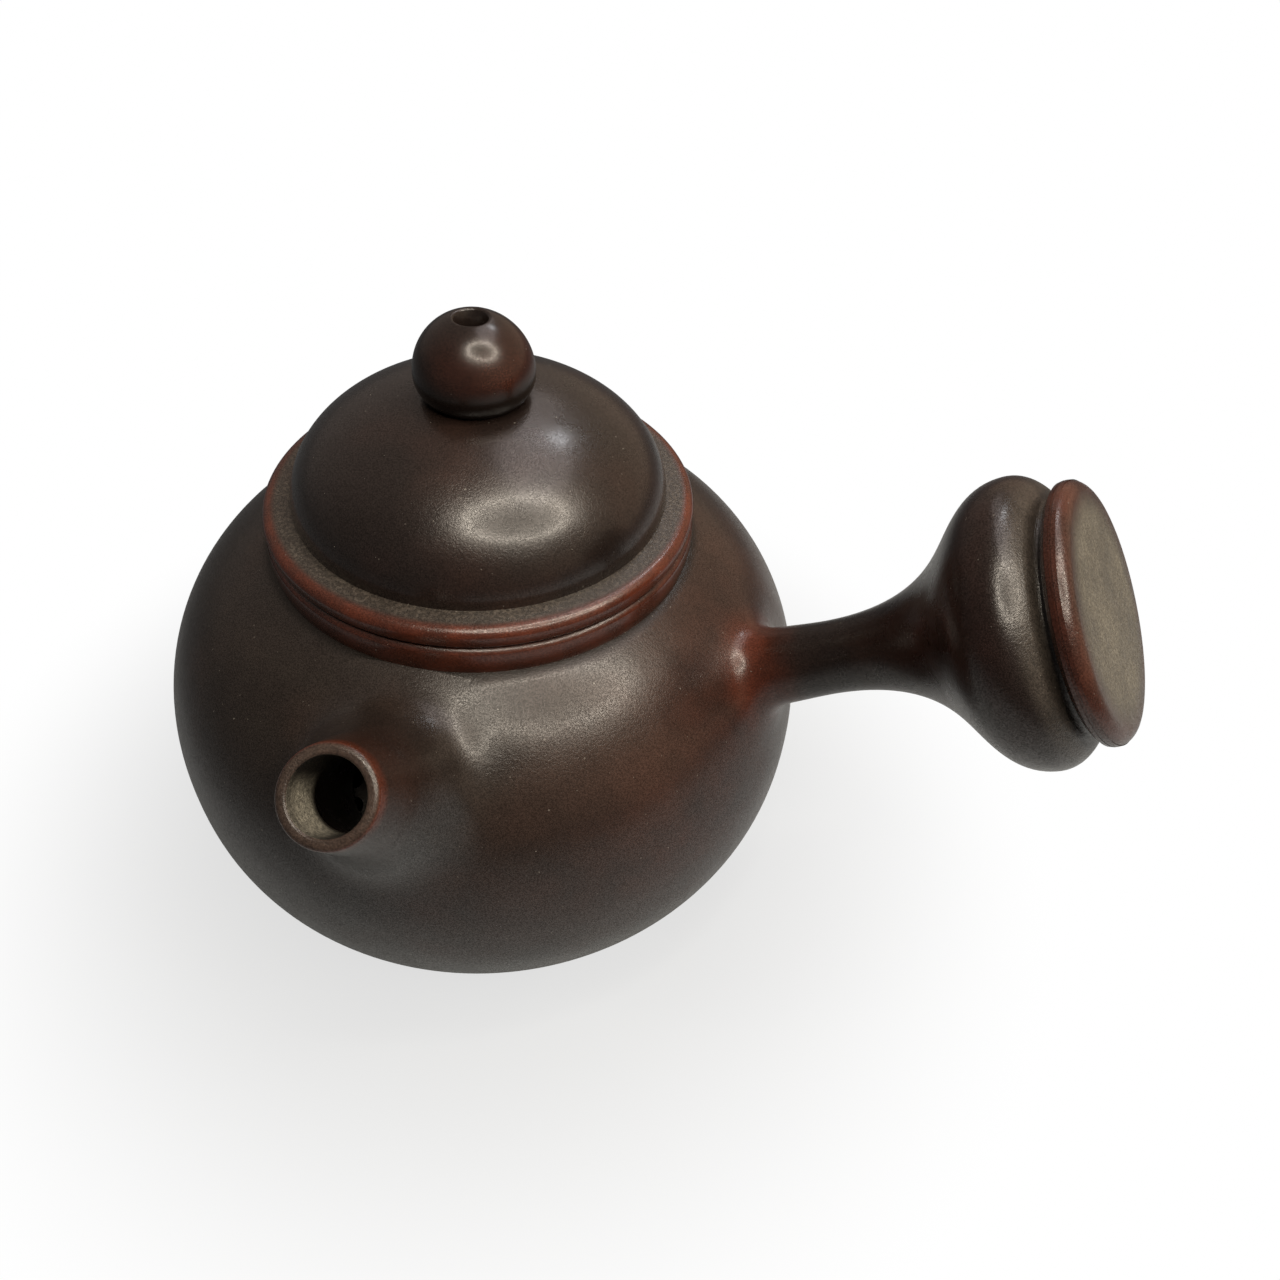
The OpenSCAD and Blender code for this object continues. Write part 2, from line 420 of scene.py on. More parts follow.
# Size in millimetres and detail of the noise in the clay, and the span over which it rises from 0 to 1
CLOUD_NOISE = (14, 3)
CLOUD_SPAN = (0.4, 0.85)
PATCH_NOISE = (3.5, 3)
PATCH_SPAN = (0.2, 0.8)
GRAIN_NOISE = (0.16, 1)
GRAIN_SPAN = (0.3, 0.7)
SPECK_NOISE = (0.42, 1)
SPECK_SPAN = (0.42, 0.68)
DUST_NOISE = (0.34, 0)
DUST_SPAN = (0.85, 0.88)
DENT_NOISE = (4, 1)
# Middle of what rises from 0 to 1
MIDDLE = 0.5

# How much the grain, the specks and the dust show, and what they and the marks do to the gloss and the bump
GRAIN_SHADE = 0.6
SPECK_MIDDLE = 0.4
DUST_COVER = 0.4
MATT_DULLS = 0.6
MATT_BLUR = 0.12
RAW_BLUR = 0.35
PATCH_BLUR = 0.05
SPECK_HEIGHT = 0.7
RAW_HEIGHT = 2.0


def new_material(name):
    """A new material, with its nodes and its surface shader."""
    material = bpy.data.materials.new(name)
    material.use_nodes = True
    return material, material.node_tree, material.node_tree.nodes["Principled BSDF"]


def clay(name, marks, gloss=0.20, blur=0.28, shine=0.66, sheen=0.43, sparkle=0.9, speckle=0.6,
         grain_height=0.007, dent_height=0.06):
    """Burnished clay, with the worn, matt, raw and painted-shade places that marks names; some marks also
    carry painted light.
    """
    material, tree, shader = new_material(name)
    here = Wire(tree).add("ShaderNodeTexCoord", {}, {}, "Object")
    spot = here.add("ShaderNodeVectorMath", {"operation": "SCALE"}, {0: here, "Scale": 1 / MM})
    found = marks(spot)

    cloud = (spot.noise(*CLOUD_NOISE) + found.get("warm_and_lit", 0.0)).rise(*CLOUD_SPAN)
    patch = spot.noise(*PATCH_NOISE).rise(*PATCH_SPAN)
    grain = spot.noise(*GRAIN_NOISE).rise(*GRAIN_SPAN)
    specks = spot.noise(*SPECK_NOISE).rise(*SPECK_SPAN)
    dust = spot.noise(*DUST_NOISE).rise(*DUST_SPAN)
    dents = spot.noise(*DENT_NOISE)

    colour = cloud.mix(DARK_SKIN, WARM_SKIN)
    cover = {}
    for mark, (shows, patchy) in MARKS.items():
        cover[mark] = (patch * patchy + (1 - patchy)) * found.get(mark, 0.0)
        colour = cover[mark].mix(colour, shows)
    matt_and_sheen, raw, painted_shade = cover["matt_and_sheen"], cover["raw"], cover["painted_shade"]
    fleck = (grain - MIDDLE) * GRAIN_SHADE + 1.0 + (specks - SPECK_MIDDLE) * (matt_and_sheen + raw) * speckle
    colour = (dust * DUST_COVER).mix(colour.shaded(fleck), DUST)

    polish = (1 - matt_and_sheen * MATT_DULLS) * (1 - raw) * (1 - painted_shade) * ((grain - MIDDLE) * sparkle + shine)
    roughness = blur + matt_and_sheen * MATT_BLUR + raw * RAW_BLUR + (patch - MIDDLE) * PATCH_BLUR
    roughened = (grain + specks * SPECK_HEIGHT) * (matt_and_sheen + RAW_HEIGHT * raw + 1.0)
    height = roughened * grain_height + dents * dent_height
    bump = height.add("ShaderNodeBump", {}, {"Height": height, "Distance": MM})

    varied = {"Base Color": colour, "Roughness": roughness, "Coat Weight": polish, "Normal": bump}
    for socket, value in varied.items():
        tree.links.new(value.socket, shader.inputs[socket])
    shader.inputs["Specular IOR Level"].default_value = sheen
    shader.inputs["Coat Roughness"].default_value = gloss
    return material


# Where the marks of use and the painted light and shade lie: spans in millimetres over which each comes or
# goes, and its strength

# Shoulder haze: duller clay, and a lighter painted sheen of the lamp's glow high on the shoulder
HAZE_UP = (30.0, 46.0)
HAZE_OFF_HANDLE = (5.0, 18.0)
HAZE_AND_SHEEN = 0.2
ROOT_SPAN = (2.0, 9.0)

# Redness round the handle's root: rubbing, and painted bounce light in the concave root
BLUSH_ALONG = (2.0, 8.0)
BLUSH_ROOT = (4.0, 8.5)
BLUSH_ROOT_RUB_AND_BOUNCE = 0.8
BLUSH_AROUND = (6.0, 36.0)
BLUSH_AROUND_WORN = 0.12
# Place on the pot's side where the pouring hand rubs it
PALM = (33.5, -17.0, 39.0)
PALM_REACH = (3.0, 22.0)
PALM_WORN = 0.13

PLATE_RIM = (22.5, 23.5)
PLATE_WORN = 0.82
# Painted side light: the rim's red grows toward the handle, per millimetre
PLATE_SIDE_LIGHT_PER_MM = 0.008
PLATE_MATT = 0.9

BEAD = (23.3, 24.3)
BEAD_WORN = 0.62
# Painted side light: the bead's red grows toward the handle, per millimetre
BEAD_SIDE_LIGHT_PER_MM = 0.006

DISC_RIM = (8.2, 12.2)
DISC_WORN = 0.55
STREAK_NOISE = (6, 2)
STREAK_SPAN = (0.3, 0.7)
STREAK_RAW = 0.25
DISC_RAW = 0.36

# Painted side light on the pot: warmer toward the handle, per millimetre
POT_SIDE_LIGHT_PER_MM = 0.006
# Painted shade in the crease under the mouth ring: how far out it reaches, and how dark it is
CREASE_OUT = (RING_R - 0.1, RING_R + 1.0)
CREASE_PAINTED_SHADE = 0.85

DOME_WARM = -0.06
# Painted side light on the dome: warmer toward the handle, per millimetre
DOME_SIDE_LIGHT_PER_MM = 0.007

GRIP_FROM = (14.0, 24.0)
GRIP_TO = (BULB_AT - 1.0, BULB_AT + 2.0)
GRIP_WORN = 0.09
BULB_BACK = (BULB_AT + 1.5, BULB_AT + 2.9)
BULB_BACK_MATT = 0.7

LIP = (SPOUT_LEN - 0.3, SPOUT_LEN - 0.05)
LIP_WORN = 0.2
LIP_MATT = 0.55
SPOUT_RIM = (SPOUT_LEN - 1.9, SPOUT_LEN - 0.5)
SPOUT_RIM_WORN = 0.8

# Painted shade inside the spout: full deep down, and all round near the mouth but on the lit side
THROAT = (SPOUT_LEN - THROAT_LEN - 0.4, SPOUT_LEN - THROAT_LEN + 1.2)
BORE_RIM = (SPOUT_LEN - 2.2, SPOUT_LEN - 0.4)
BORE_RIM_PAINTED_SHADE = 0.6
# Direction across the bore of the side where light falls, which stays pale while painted shade covers the
# rest
LIT_WAY = (0.6, -0.8, 0)
LIT_SPAN = (1.4, 3.4)

# Knob: a slight rub all round, redder toward the handle as painted side light, and near-black painted shade
# at its foot
KNOB_SIDE = (1.5, 6.2)
KNOB_TOWARD_HANDLE = (-5.0, 7.0)
KNOB_WORN = 0.04
KNOB_SIDE_LIGHT = 0.29
KNOB_WARM = -0.14
KNOB_FOOT = (KNOB_Z + 2.2, KNOB_Z + 4.4)
KNOB_FOOT_PAINTED_SHADE = 0.95

STRAINER_RAW = 0.5


def side_light(spot, per_mm):
    """Painted side light: how much stronger a mark grows toward the handle, along X, the side the light falls
    from.
    """
    return spot.part(0) * per_mm


def shoulder_haze_and_sheen(spot):
    """How far the pot's shoulder is hazed: dulled with handling, and lighter in colour as a painted sheen of
    the lamp's glow.
    """
    off_handle = spot.seen_from(handle_place).across()
    return spot.along().rise(*HAZE_UP) * off_handle.rise(*HAZE_OFF_HANDLE) * HAZE_AND_SHEEN


def handle_blush_and_bounce(spot):
    """How red the clay is round the root of the handle: rubbed by fingers, with painted bounce light in the
    concave root.
    """
    local = spot.seen_from(handle_place)
    across = local.across()
    near = local.along().fall(*BLUSH_ALONG)
    root = across.fall(*BLUSH_ROOT) * near
    around = across.fall(*BLUSH_AROUND) * near
    palm = spot.measure("DISTANCE", PALM).fall(*PALM_REACH)
    return root * BLUSH_ROOT_RUB_AND_BOUNCE + around * BLUSH_AROUND_WORN + palm * PALM_WORN


def plate_marks(spot):
    """The lid's plate: an ashen flat and a rim rubbed red, redder toward the handle's side as painted side
    light.
    """
    rim = spot.across().rise(*PLATE_RIM)
    return {"worn_and_lit": rim * (side_light(spot, PLATE_SIDE_LIGHT_PER_MM) + PLATE_WORN), "matt_and_sheen": (1 - rim) * PLATE_MATT}


def ring_marks(spot):
    """The mouth ring: a bead rubbed red, redder toward the handle's side as painted side light."""
    return {"worn_and_lit": spot.across().rise(*BEAD) * (side_light(spot, BEAD_SIDE_LIGHT_PER_MM) + BEAD_WORN)}


def disc_marks(spot):
    """The end disc: an ashen face with raw streaks, and a rim rubbed red."""
    rim = spot.seen_from(handle_place).across().rise(*DISC_RIM)
    streaks = spot.noise(*STREAK_NOISE).rise(*STREAK_SPAN) * STREAK_RAW + DISC_RAW
    return {"worn_and_lit": rim * DISC_WORN, "matt_and_sheen": 1 - rim, "raw": (1 - rim) * streaks}


def pot_marks(spot):
    """The pot: rubbed red round the handle with painted bounce light at its root, warmer toward it as painted
    side light, hazed with a painted sheen on the shoulder, and painted shade in the crease under the mouth
    ring.
    """
    crease = spot.across().fall(*CREASE_OUT) * spot.along().rise(BELLY_Z, MOUTH_Z)
    return {"worn_and_lit": handle_blush_and_bounce(spot), "warm_and_lit": side_light(spot, POT_SIDE_LIGHT_PER_MM),
            "matt_and_sheen": shoulder_haze_and_sheen(spot), "painted_shade": crease * CREASE_PAINTED_SHADE}


def dome_marks(spot):
    """The dome: warmer toward the handle's side as painted side light."""
    return {"warm_and_lit": side_light(spot, DOME_SIDE_LIGHT_PER_MM) + DOME_WARM}


def handle_marks(spot):
    """The handle: at its root rubbed red, warmer and hazed as the pot is, with painted bounce light, side
    light and sheen; matt behind the bulb.
    """
    along = spot.seen_from(handle_place).along()
    root = along.fall(*ROOT_SPAN)
    held = along.rise(*GRIP_FROM) * along.fall(*GRIP_TO)
    back = along.rise(*BULB_BACK)
    return {"worn_and_lit": handle_blush_and_bounce(spot) + held * GRIP_WORN,
            "warm_and_lit": side_light(spot, POT_SIDE_LIGHT_PER_MM) * root,
            "matt_and_sheen": back * BULB_BACK_MATT + shoulder_haze_and_sheen(spot) * root}


def spout_marks(spot):
    """The spout: its edge rubbed red, its lip ashen, and the pot's painted side light and hazy sheen carried
    on to it.
    """
    along = spot.seen_from(spout_place).along()
    lip = along.rise(*LIP)
    edge = along.rise(*SPOUT_RIM) * (1 - lip)
    haze = shoulder_haze_and_sheen(spot) * along.fall(*ROOT_SPAN)
    return {"worn_and_lit": edge * SPOUT_RIM_WORN + lip * LIP_WORN, "matt_and_sheen": lip * LIP_MATT + haze,
            "warm_and_lit": side_light(spot, POT_SIDE_LIGHT_PER_MM)}


def bore_marks(spot):
    """Inside the spout: raw clay under painted shade, but for a lit patch on its low side near the mouth."""
    local = spot.seen_from(spout_place)
    along = local.along()
    throat = along.rise(*THROAT)
    lit_patch = local.measure("DOT_PRODUCT", LIT_WAY).rise(*LIT_SPAN) * throat
    return {"raw": throat, "painted_shade": 1 - lit_patch * (1 - along.rise(*BORE_RIM) * BORE_RIM_PAINTED_SHADE)}


def knob_marks(spot):
    """The knob: slightly rubbed red by fingers, redder toward the handle as painted side light, and painted
    shade toward its foot.
    """
    toward_handle = spot.part(0).rise(*KNOB_TOWARD_HANDLE)
    # A slight rub all round, plus painted side light toward the handle
    held = spot.across().rise(*KNOB_SIDE) * (toward_handle * KNOB_SIDE_LIGHT + KNOB_WORN)
    # Painted shade toward the foot, which the light hardly reaches
    foot = spot.along().fall(*KNOB_FOOT)
    return {"worn_and_lit": held, "warm_and_lit": KNOB_WARM, "painted_shade": foot * KNOB_FOOT_PAINTED_SHADE}


def raw_marks(spot):
    """Clay that was never burnished."""
    return {"raw": 1.0}


def painted_shade_marks(spot):
    """Raw clay under near-black painted shade, for the strainer deep in the spout."""
    return {"raw": STRAINER_RAW, "painted_shade": 1.0}


# The pot's own gloss, which its roots share
POT_GLOSS = {"gloss": 0.21, "blur": 0.30, "shine": 0.49, "sheen": 0.37}

pot_clay = clay("pot_clay", pot_marks, **POT_GLOSS)
dome_clay = clay("dome_clay", dome_marks, shine=0.74, grain_height=0.0075)
plate_clay = clay("plate_clay", plate_marks, speckle=1.0, grain_height=0.009)
ring_clay = clay("ring_clay", ring_marks)
disc_clay = clay("disc_clay", disc_marks, gloss=0.25, shine=0.41, speckle=0.25, dent_height=0.2)
root_clay = clay("root_clay", handle_marks, **POT_GLOSS)
handle_clay = clay("handle_clay", handle_marks, gloss=0.22, shine=0.42)
spout_clay = clay("spout_clay", spout_marks, **POT_GLOSS)
bore_clay = clay("bore_clay", bore_marks)
knob_clay = clay("knob_clay", knob_marks, gloss=0.19, blur=0.25, shine=0.44, sparkle=0.3, grain_height=0.002)
raw_clay = clay("raw_clay", raw_marks)
painted_shade_clay = clay("painted_shade_clay", painted_shade_marks)


# Pieces

def put(name, data):
    """Puts a new object into the scene."""
    obj = bpy.data.objects.new(name, data)
    bpy.context.scene.collection.objects.link(obj)
    return obj


def new_mesh(name, bm, *materials):
    """Makes a form into a mesh with its materials."""
    mesh = bpy.data.meshes.new(name)
    bm.to_mesh(mesh)
    bm.free()
    for material in materials:
        mesh.materials.append(material)
    return mesh


def piece(name, bm, body, slot, *materials, place=Matrix()):
    """Makes a finished piece that rides a body and stands for the frame's node of that name."""
    bmesh.ops.transform(bm, matrix=Matrix.Scale(MM, 4) @ place, verts=bm.verts[:])
    mesh = new_mesh(name + "_skin", bm, *materials)
    mesh.shade_smooth()
    mesh.set_sharp_from_angle(angle=CRISP_ANGLE)
    obj = put(name + "_skin", mesh)
    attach(obj, body)
    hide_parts(name)


def pot_form():
    """The thrown pot, inside and out, with raw clay inside."""
    bore_share = (BORE_R / (BELLY_R - WALL))**SHOULDER_SPREAD
    bore_z = BELLY_Z + (crown_h - WALL) * (1 - bore_share)**(1 / SHOULDER_POWER)
    foot = outline((0, 0), (BASE_R, 0, FOOT_EDGE), (pot_radius(FOOT_RISE), FOOT_RISE))
    outside = pot_side(FOOT_RISE, BELLY_Z)[1:] + pot_side(BELLY_Z, MOUTH_Z)[1:]
    inside = pot_side(FLOOR_T, BELLY_Z, WALL) + pot_side(BELLY_Z, bore_z, WALL)[1:]
    bm = turned(foot + outside + [Vector((BORE_R, MOUTH_Z))] + inside[::-1] + [Vector((0, FLOOR_T))])
    open_outlet(bm)
    for face in bm.faces:
        middle = face.calc_center_median()
        within = middle.xy.length < pot_radius(middle.z, WALL / 2)
        face.material_index = int(within and middle.z > FLOOR_T / 2)
    return bm


def mouth_ring_form():
    """The bead round the mouth."""
    low = MOUTH_Z - RING_SUNK
    return turned(outline((BORE_R, low),
                          (RING_R - RING_FOOT_IN, low, RING_FOOT_EDGE),
                          (RING_R, (MOUTH_Z + SEAT_Z) / 2, RING_SIDE_EDGE),
                          (RING_R - RING_TOP_IN, SEAT_Z, RING_TOP_EDGE),
                          (BORE_R, SEAT_Z)), closed=True)


def lid_plate_form():
    """The lid's plate with its rounded edge."""
    low = SEAT_Z + LID_ROOM
    return turned(outline((LID_BORE_R, low),
                          (PLATE_R - PLATE_FOOT_IN, low, PLATE_FOOT_EDGE),
                          (PLATE_R, SEAT_Z + PLATE_SIDE_H, PLATE_SIDE_EDGE),
                          (PLATE_R - PLATE_TOP_IN, PLATE_Z, PLATE_TOP_EDGE),
                          (LID_BORE_R, PLATE_Z)), closed=True)


def arch(radius, height, end):
    """Points of a dome's outline, from the lid's plate up to an angle."""
    points = []
    for i in range(DOME_STEPS + 1):
        turn = end * i / DOME_STEPS
        points.append(Vector((radius * math.cos(turn), PLATE_Z + height * math.sin(turn))))
    return points


def lid_dome_form():
    """The lid's hollow dome, open under the knob for the vent, with raw clay inside."""
    seat_r = math.sqrt(KNOB_R**2 - KNOB_MIDDLE**2)
    inner_r = DOME_R - DOME_WALL
    outside = arch(DOME_R, DOME_H, math.acos(seat_r / DOME_R))
    inside = arch(inner_r, DOME_H - DOME_WALL, math.acos(VENT_R / inner_r))
    bm = turned(outside + [Vector((VENT_R, outside[-1].y))] + inside[::-1], closed=True)
    middle_r = DOME_R - DOME_WALL / 2
    middle_h = DOME_H - DOME_WALL / 2
    for face in bm.faces:
        middle = face.calc_center_median()
        share = Vector((middle.xy.length / middle_r, (middle.z - PLATE_Z) / middle_h))
        face.material_index = int(share.length < 1)
    return bm


def lid_sleeve_form():
    """The ring under the lid that keeps it in the mouth."""
    high = SEAT_Z + 2 * LID_ROOM
    return turned(outline((SLEEVE_R, high),
                          (SLEEVE_R, SLEEVE_Z, SLEEVE_EDGE),
                          (LID_BORE_R, SLEEVE_Z, SLEEVE_EDGE),
                          (LID_BORE_R, high)), closed=True)


def knob_form():
    """The ball on the lid, drawn in at its foot, with the vent through it."""
    middle = KNOB_Z + KNOB_MIDDLE
    foot_depth = KNOB_MIDDLE / math.sqrt(1 - (KNOB_FOOT_R / KNOB_R)**2)
    start = -math.acos(KNOB_FOOT_R / KNOB_R)
    end = math.acos((VENT_MOUTH_R + VENT_EDGE) / KNOB_R)
    ball = []
    for i in range(BALL_STEPS + 1):
        turn = start + (end - start) * i / BALL_STEPS
        rise = KNOB_R if turn > 0 else foot_depth
        ball.append(Vector((KNOB_R * math.cos(turn), middle + rise * math.sin(turn))))
    top = ball[-1].y
    edge = outline(ball[-1], (VENT_MOUTH_R, top + VENT_LIP, VENT_EDGE), (VENT_R, top - VENT_MOUTH_H))
    return turned(ball + edge[1:] + [Vector((VENT_R, KNOB_Z))], closed=True)


def spout_form():
    """The spout, its flared root bent on to the pot and its bore left open."""
    root = flare(*SPOUT_FLARE)
    throat_z = SPOUT_LEN - THROAT_LEN
    lip = outline(root[-1],
                  (SPOUT_R, SPOUT_LEN, SPOUT_EDGE),
                  (SPOUT_BORE_R, SPOUT_LEN, SPOUT_BORE_EDGE),
                  (SPOUT_BORE_R - SPOUT_BORE_TAPER, throat_z, THROAT_EDGE),
                  (OUTLET_R, throat_z - THROAT_STEP, OUTLET_EDGE),
                  (OUTLET_R, -WALL))
    bm = turned(root + lip[1:], closed=True)
    for face in bm.faces:
        middle = face.calc_center_median()
        inside = middle.xy.length < OUTLET_R + BORE_ROOM
        face.material_index = int(inside and middle.z < SPOUT_LEN - LIP_DEPTH)
    seat_root(bm, spout_place, SPOUT_BEND)
    return bm


def handle_grip_form():
    """The handle, from the flared root through the stem and the bulb to the groove behind it."""
    end = DISC_AT + DISC_LAP
    side = [Vector((0, -HANDLE_DEPTH))] + flare(*HANDLE_FLARE)
    for bend, lean, last, steps in HANDLE_CURVES:
        side += curve(side[-1], bend, lean, last, steps)[1:]
    side += outline(side[-1], (GROOVE_R, GROOVE_AT, GROOVE_EDGE), (GROOVE_R, end))[1:]
    bm = turned(side + [Vector((0, end))])
    for face in bm.faces:
        face.material_index = int(face.calc_center_median().z > WAIST_AT)
    seat_root(bm, handle_place, HANDLE_BEND)
    return bm


def handle_end_disc_form():
    """The round-edged disc that closes the handle."""
    return turned(outline((0, DISC_AT),
                          (DISC_R - DISC_FOOT_IN, DISC_AT, DISC_FOOT_EDGE),
                          (DISC_R, DISC_AT + DISC_SIDE_H, DISC_SIDE_EDGE),
                          (DISC_R - DISC_FACE_IN, DISC_FACE, DISC_FACE_EDGE),
                          (0, DISC_FACE - DISC_FACE_HOLLOW)))


piece("pot_body", pot_form(), "pot", "burnished_clay", pot_clay, raw_clay)
piece("mouth_ring", mouth_ring_form(), "pot", "worn_clay", ring_clay)
piece("spout", spout_form(), "pot", "burnished_clay", spout_clay, bore_clay, place=spout_place)
piece("handle_grip", handle_grip_form(), "pot", "burnished_clay", root_clay, handle_clay, place=handle_place)
piece("handle_end_disc", handle_end_disc_form(), "pot", "worn_clay", disc_clay, place=handle_place)
piece("lid_plate", lid_plate_form(), "lid", "worn_clay", plate_clay)
piece("lid_dome", lid_dome_form(), "lid", "burnished_clay", dome_clay, raw_clay)
piece("lid_sleeve", lid_sleeve_form(), "lid", "raw_clay", raw_clay)
piece("knob", knob_form(), "lid", "burnished_clay", knob_clay)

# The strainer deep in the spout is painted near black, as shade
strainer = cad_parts["strainer"]
strainer.data.materials.clear()
strainer.data.materials.append(painted_shade_clay)


# Studio

# How far each kind of ray sees plain white round the pot: burnished clay mirrors little of it
PLAIN_RAYS = {"Is Camera Ray": 1.0, "Is Transmission Ray": 1.0, "Is Glossy Ray": 0.05}
PLAIN_WHITE = (1, 1, 1, 1)

# Table and the pale sheet on it, in metres
TABLE_HALF = 4
TABLE_ROUGHNESS = 0.9
TABLE_SHEEN = 0.1
TABLE_GREY = (0.03, 0.034, 0.039, 1)
SHEET_GREY = (0.30, 0.33, 0.36, 1)
SHEET_PLACE = Matrix.Translation((0.11, 0.02, 0))
SHEET_EDGE = (0.08, 0.26)
SHADE_EDGE = (0.035, 0.085)
SHADE = 0.3

# Directions round the pot and above level in degrees, sizes in metres, and power in watts
WARM_WHITE = (1.0, 0.90, 0.76)
COOL_WHITE = (0.90, 0.95, 1.0)
PALE_WHITE = (1.0, 0.90, 0.88)
LAMP_DISTANCE = 0.6

SOFTBOX_AT = (-25, 63.2)
SOFTBOX_WIDE_WAY = (0.79, 0.56, 0.0)
SOFTBOX_DISTANCE = 0.42
SOFTBOX_HALF_WIDTH = 0.172
SOFTBOX_HALF_HEIGHT = 0.107
SOFTBOX_POWER = 0.05
RIM_LAMPS = 36
RIM_SIZE = 0.034
RIM_POWER = 2.65

BACK_AT = (81, 48.5)
BACK_SIZE = 0.07
BACK_POWER = 0.13

LEDGE_AT = (103, 37)
LEDGE_SIZE = 0.18
LEDGE_POWER = 0.06

PANEL_AT = (68, 65)
PANEL_ENDS = ((99, 42), (43, 66))
PANEL_WIDTH = 0.58
PANEL_HEIGHT = 0.30
PANEL_POWER = 0.66

# Room light: its dimmest colour, then direction, span and colour of the glow at the right and behind
ROOM_DIM = (0.042, 0.036, 0.033, 1)
ROOM_GLOWS = (
    ((40, 25), (-0.3, 1.0), (0.36, 0.265, 0.185, 1)),
    ((150, 42), (0.5, 1.0), (0.17, 0.135, 0.115, 1)),
)

# Camera in millimetres and degrees
CAMERA_PLACE = Vector((49.43, -80.38, 127.2))
CAMERA_HEADING = math.radians(19.78)
CAMERA_PITCH = math.radians(44.96)
CAMERA_ROLL = math.radians(4.39)
SENSOR = 36
LENS = 28.125
NEAREST = 0.01


def sees_white(here):
    """How far the ray that arrives sees plain white."""
    return sum(here.add("ShaderNodeLightPath", {}, {}, name) * share for name, share in PLAIN_RAYS.items())


def table_material():
    """A pale sheet on a wide table, which runs out to white but for the shade under the pot."""
    material, tree, shader = new_material("table_white")
    shader.inputs["Roughness"].default_value = TABLE_ROUGHNESS
    shader.inputs["Specular IOR Level"].default_value = TABLE_SHEEN
    here = Wire(tree).add("ShaderNodeTexCoord", {}, {}, "Object")
    sheet = here.seen_from(SHEET_PLACE).across().rise(*SHEET_EDGE).mix(SHEET_GREY, TABLE_GREY)
    tree.links.new(sheet.socket, shader.inputs["Base Color"])
    white = here.add("ShaderNodeEmission", {}, {"Color": PLAIN_WHITE, "Strength": 1.0})
    plain = sees_white(here) * (here.across().rise(*SHADE_EDGE) * SHADE + (1 - SHADE))
    lit = Wire(tree, shader.outputs[0])
    surface = here.add("ShaderNodeMixShader", {}, {0: plain, 1: lit, 2: white})
    tree.links.new(surface.socket, tree.nodes["Material Output"].inputs["Surface"])
    return material


def floor():
    """The table under the pot."""
    bm = bmesh.new()
    bmesh.ops.create_grid(bm, x_segments=1, y_segments=1, size=TABLE_HALF)
    obj = put("table", new_mesh("table", bm, table_material()))


def direction(turn, rise):
    """Unit vector at an angle round the pot and an angle above level, in degrees."""
    turn, rise = math.radians(turn), math.radians(rise)
    return Vector((math.cos(rise) * math.cos(turn), math.cos(rise) * math.sin(turn), math.sin(rise)))


def facing_pot(away, wide, distance):
    """Place of a lamp in a direction from the lid, with X as near to its wide side as can be."""
    wide = (wide - away * wide.dot(away)).normalized()
    turn = Matrix((wide, away.cross(wide), away)).transposed().to_4x4()
    return Matrix.Translation(Vector((0, 0, SEAT_Z * MM)) + away * distance) @ turn


def lamp(name, place, width, height, power, colour):
    """An oval lamp that shines along its own -Z."""
    light = bpy.data.lights.new(name, "AREA")
    light.shape = "ELLIPSE"
    light.size = width
    light.size_y = height
    light.color = colour
    light.energy = power
    put(name, light).matrix_world = place


def round_lamp(name, at, size, power, colour):
    """A round lamp that faces the pot."""
    away = direction(*at)
    lamp(name, facing_pot(away, away.orthogonal(), LAMP_DISTANCE), size, size, power, colour)


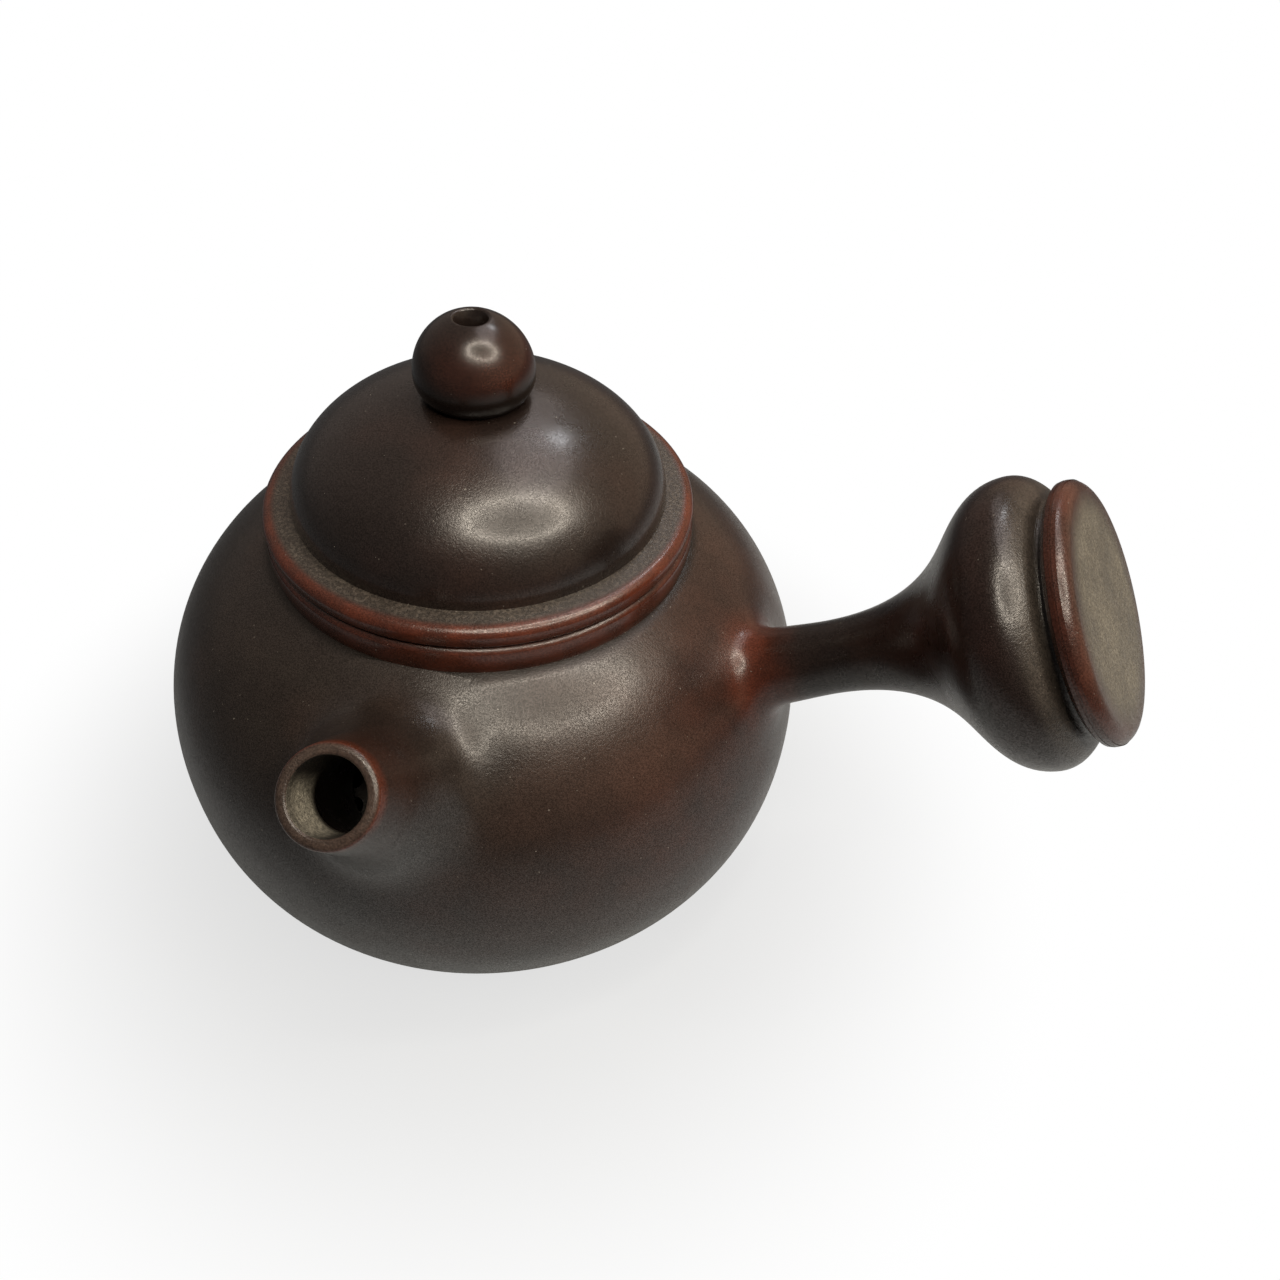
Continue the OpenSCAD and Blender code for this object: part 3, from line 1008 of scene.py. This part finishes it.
def ring_lamp():
    """An oval softbox with a brighter rim, high at the right of the spout."""
    place = facing_pot(direction(*SOFTBOX_AT), Vector(SOFTBOX_WIDE_WAY), SOFTBOX_DISTANCE)
    lamp("softbox", place, 2 * SOFTBOX_HALF_WIDTH, 2 * SOFTBOX_HALF_HEIGHT, SOFTBOX_POWER, WARM_WHITE)
    for i in range(RIM_LAMPS):
        angle = math.tau * i / RIM_LAMPS
        x = SOFTBOX_HALF_WIDTH * math.cos(angle)
        y = SOFTBOX_HALF_HEIGHT * math.sin(angle)
        offset = Matrix.Translation((x, y, 0))
        lamp("softbox_rim", place @ offset, RIM_SIZE, RIM_SIZE, RIM_POWER / RIM_LAMPS, WARM_WHITE)


def back_lamp():
    """A small lamp behind the pot."""
    round_lamp("back_lamp", BACK_AT, BACK_SIZE, BACK_POWER, COOL_WHITE)


def ledge_lamp():
    """A soft lamp low behind the pot, which the lid's flat mirrors on the handle's side."""
    round_lamp("ledge_lamp", LEDGE_AT, LEDGE_SIZE, LEDGE_POWER, PALE_WHITE)


def panel():
    """A wide pale panel high behind the pot, which the dome mirrors beside the knob."""
    start, end = (direction(*at) for at in PANEL_ENDS)
    place = facing_pot(direction(*PANEL_AT), end - start, LAMP_DISTANCE)
    lamp("panel", place, PANEL_WIDTH, PANEL_HEIGHT, PANEL_POWER, PALE_WHITE)


def room():
    """Soft room light, brightest at the right behind the handle."""
    world = bpy.data.worlds.new("room")
    bpy.context.scene.world = world
    world.use_nodes = True
    tree = world.node_tree
    way = Wire(tree).add("ShaderNodeTexCoord", {}, {}, "Generated")
    colour = ROOM_DIM
    for at, span, glow in ROOM_GLOWS:
        colour = way.measure("DOT_PRODUCT", direction(*at)).rise(*span).mix(colour, glow)
    dim = way.add("ShaderNodeBackground", {}, {"Color": colour})
    white = way.add("ShaderNodeBackground", {}, {"Color": PLAIN_WHITE})
    seen = way.add("ShaderNodeMixShader", {}, {0: sees_white(way), 1: dim, 2: white})
    tree.links.new(seen.socket, tree.nodes["World Output"].inputs["Surface"])


def camera():
    """The photo's view: close above the pot, a wide lens, the frame slightly rolled."""
    lens = bpy.data.cameras.new("camera")
    lens.sensor_width = SENSOR
    lens.lens = LENS
    lens.clip_start = NEAREST
    obj = put("camera", lens)
    aim = (Matrix.Rotation(CAMERA_HEADING, 4, "Z") @ Matrix.Rotation(CAMERA_PITCH, 4, "X")
           @ Matrix.Rotation(CAMERA_ROLL, 4, "Z"))
    obj.matrix_world = Matrix.Translation(CAMERA_PLACE * MM) @ aim
    bpy.context.scene.camera = obj


floor()
room()
ring_lamp()
back_lamp()
ledge_lamp()
panel()
camera()

bpy.context.scene.view_settings.view_transform = "Standard"
